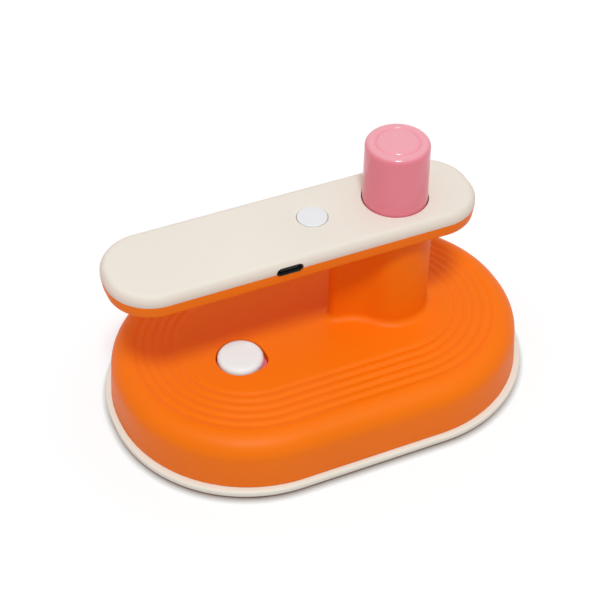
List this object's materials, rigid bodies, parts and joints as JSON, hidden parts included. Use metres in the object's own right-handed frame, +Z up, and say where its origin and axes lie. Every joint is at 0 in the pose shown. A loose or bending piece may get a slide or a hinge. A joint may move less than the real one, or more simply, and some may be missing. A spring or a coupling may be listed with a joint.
{
  "type": "wallpaper steamer",
  "caption": "Compact cordless steamer: oval steam base with filler plug, hollow column, flat cantilever grip with power button and charging port, and a sprung hand pump.",
  "frame": {"origin": "on the floor under the middle of the base", "axes": "+X along the base towards the end that carries the column, -Y to the side with the charging port, +Z up"},
  "size_m": [0.1594, 0.1074, 0.0989],
  "materials": {
    "orange_plastic": "fine satin moulded",
    "cream_plastic": "fine satin moulded",
    "pink_plastic": "semi-gloss moulded",
    "white_plastic": "satin moulded",
    "pink_silicone": "matt silicone",
    "dark_rubber": "matt",
    "plate_aluminium": "satin",
    "steel": "bright",
    "clear_plastic": "natural translucent",
    "black_plastic": "satin",
    "circuit_board": "solder mask",
    "cell_wrap": "shrink wrap"
  },
  "bodies": {
    "housing": {"base_shell": "orange_plastic", "bottom_cover": "cream_plastic", "foot_front_left": "dark_rubber", "foot_front_right": "dark_rubber", "foot_rear_left": "dark_rubber", "foot_rear_right": "dark_rubber", "cover_screw_front_left": "steel", "cover_screw_front_right": "steel", "cover_screw_rear_left": "steel", "cover_screw_rear_right": "steel", "steam_plate": "plate_aluminium", "plate_gasket": "pink_silicone", "steam_tray": "plate_aluminium", "boiler_block": "plate_aluminium", "heater_element": "steel", "thermal_cutout": "steel", "water_tank": "clear_plastic", "inlet_tube": "clear_plastic", "filler_seal": "pink_silicone", "battery_cell_front": "cell_wrap", "battery_cell_rear": "cell_wrap", "pump_barrel": "clear_plastic", "barrel_guide": "clear_plastic", "outlet_valve": "pink_silicone", "pump_spring": "steel", "grip_lower_shell": "orange_plastic", "grip_upper_shell": "cream_plastic", "column_nut": "black_plastic", "column_screw": "steel", "grip_screw_left": "steel", "grip_screw_middle": "steel", "grip_screw_right": "steel", "tact_switch": "black_plastic", "control_board": "circuit_board", "charging_socket": "black_plastic"},
    "pump": {"pump_knob": "pink_plastic", "piston_rod": "steel", "piston_ring": "dark_rubber"},
    "button": {"power_button": "white_plastic"},
    "plug": {"filler_plug": "white_plastic"}
  },
  "joints": [
    {"name": "pump_press", "type": "slide", "parent": "housing", "child": "pump", "axis": [0, 0, -1], "range_m": [0, 0.014], "stiffness_N_per_m": 350, "springref_m": -0.008, "deforming": ["pump_spring"]},
    {"name": "button_press", "type": "slide", "parent": "housing", "child": "button", "axis": [0, 0, -1], "range_m": [0, 0.0006], "stiffness_N_per_m": 600, "springref_m": -0.0005},
    {"name": "plug_lift", "type": "slide", "parent": "housing", "child": "plug", "axis": [0, 0, 1], "range_m": [0, 0.012]}
  ]
}
